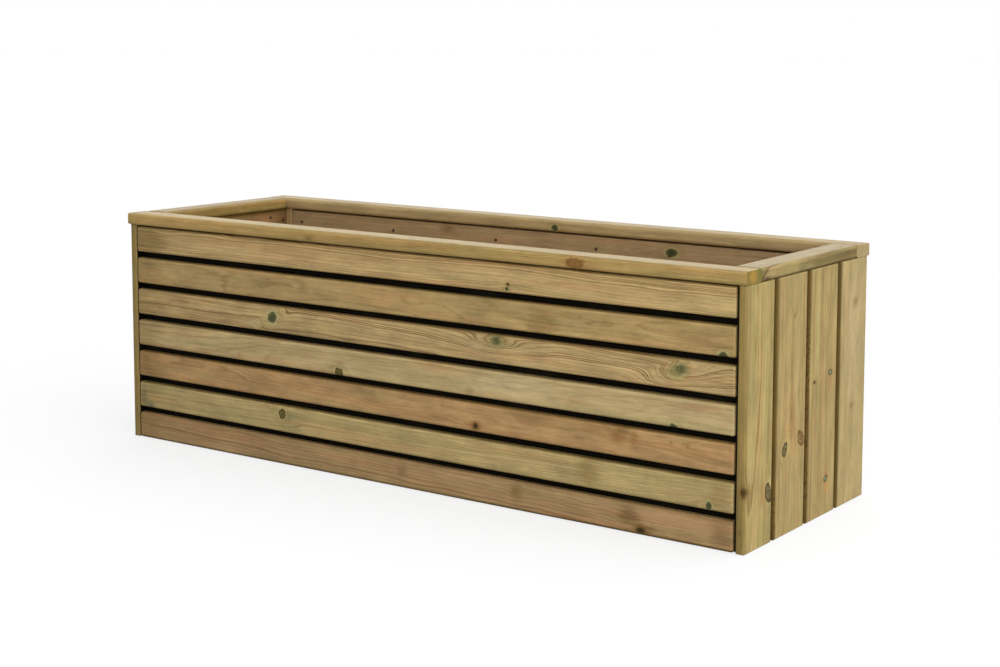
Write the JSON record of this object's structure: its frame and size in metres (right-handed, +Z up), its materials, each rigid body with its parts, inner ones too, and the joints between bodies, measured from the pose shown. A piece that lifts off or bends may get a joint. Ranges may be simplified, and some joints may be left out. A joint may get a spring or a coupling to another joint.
{
  "type": "trough planter",
  "caption": "Long slatted timber trough planter with rounded-edge slats, upright end boards and a flat rim.",
  "frame": {"origin": "on the ground, at the middle of the footprint", "axes": "+X along the trough, -Y towards its front, +Z up"},
  "size_m": [1.2, 0.39, 0.389],
  "materials": {
    "rim_timber": "planed, satin",
    "slat_timber": "planed, satin",
    "end_timber": "planed, satin",
    "inner_timber": "sawn, matte",
    "membrane": "matte",
    "fixings": "dull zinc"
  },
  "bodies": {
    "root": {"front_rim_rail": "rim_timber", "back_rim_rail": "rim_timber", "left_rim_rail": "rim_timber", "right_rim_rail": "rim_timber", "front_slat_1": "slat_timber", "front_slat_2": "slat_timber", "front_slat_3": "slat_timber", "front_slat_4": "slat_timber", "front_slat_5": "slat_timber", "front_slat_6": "slat_timber", "front_slat_7": "slat_timber", "back_slat_1": "slat_timber", "back_slat_2": "slat_timber", "back_slat_3": "slat_timber", "back_slat_4": "slat_timber", "back_slat_5": "slat_timber", "back_slat_6": "slat_timber", "back_slat_7": "slat_timber", "left_end_board_1": "end_timber", "left_end_board_2": "end_timber", "left_end_board_3": "end_timber", "left_end_board_4": "end_timber", "right_end_board_1": "end_timber", "right_end_board_2": "end_timber", "right_end_board_3": "end_timber", "right_end_board_4": "end_timber", "front_lining_board_1": "inner_timber", "front_lining_board_2": "inner_timber", "front_lining_board_3": "inner_timber", "front_lining_board_4": "inner_timber", "back_lining_board_1": "inner_timber", "back_lining_board_2": "inner_timber", "back_lining_board_3": "inner_timber", "back_lining_board_4": "inner_timber", "front_left_corner_batten": "inner_timber", "front_right_corner_batten": "inner_timber", "back_left_corner_batten": "inner_timber", "back_right_corner_batten": "inner_timber", "left_top_cleat": "inner_timber", "left_bottom_cleat": "inner_timber", "right_top_cleat": "inner_timber", "right_bottom_cleat": "inner_timber", "base_bearer_1": "inner_timber", "base_bearer_2": "inner_timber", "base_bearer_3": "inner_timber", "base_board_1": "inner_timber", "base_board_2": "inner_timber", "base_board_3": "inner_timber", "front_membrane": "membrane", "back_membrane": "membrane", "left_membrane": "membrane", "right_membrane": "membrane"}
  },
  "joints": []
}
